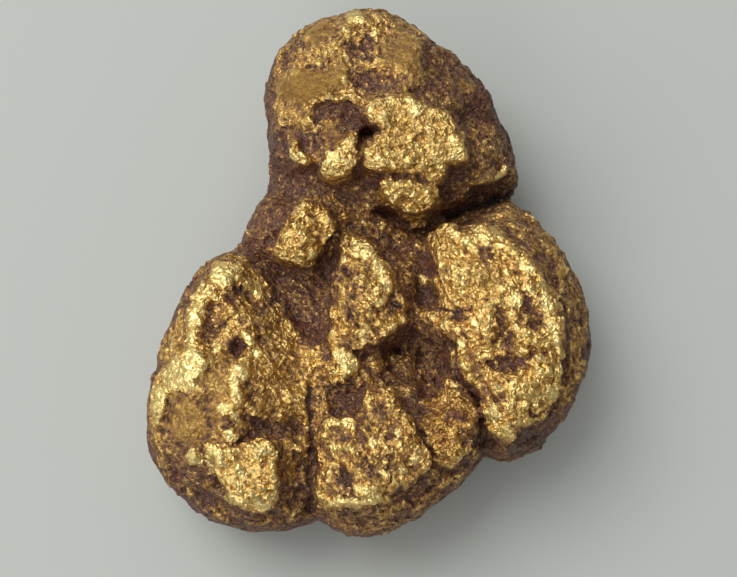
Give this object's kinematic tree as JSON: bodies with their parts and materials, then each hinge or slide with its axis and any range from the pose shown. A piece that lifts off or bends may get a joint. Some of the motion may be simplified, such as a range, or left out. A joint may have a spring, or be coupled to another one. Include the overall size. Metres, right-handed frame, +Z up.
{
  "type": "native gold nugget",
  "caption": "Water-worn lump of native gold: a rounded head, a waist and grown-together lobes with raised crinkled plates, resting on worn flats.",
  "frame": {"origin": "on the surface that the nugget rests on, under the middle of its bounding box", "axes": "+Z up from the resting face, +Y along the nugget's length towards the rounded head, +X across it, to the right in the picture"},
  "size_m": [0.0362, 0.0443, 0.0161],
  "materials": {
    "native_gold": "native gold, not brass: crinkled, dull to bright yellow on the raised plates, stained red-brown by iron oxide in the hollows and down the sides"
  },
  "bodies": {
    "root": {"gold_nugget": "native_gold"}
  },
  "joints": []
}
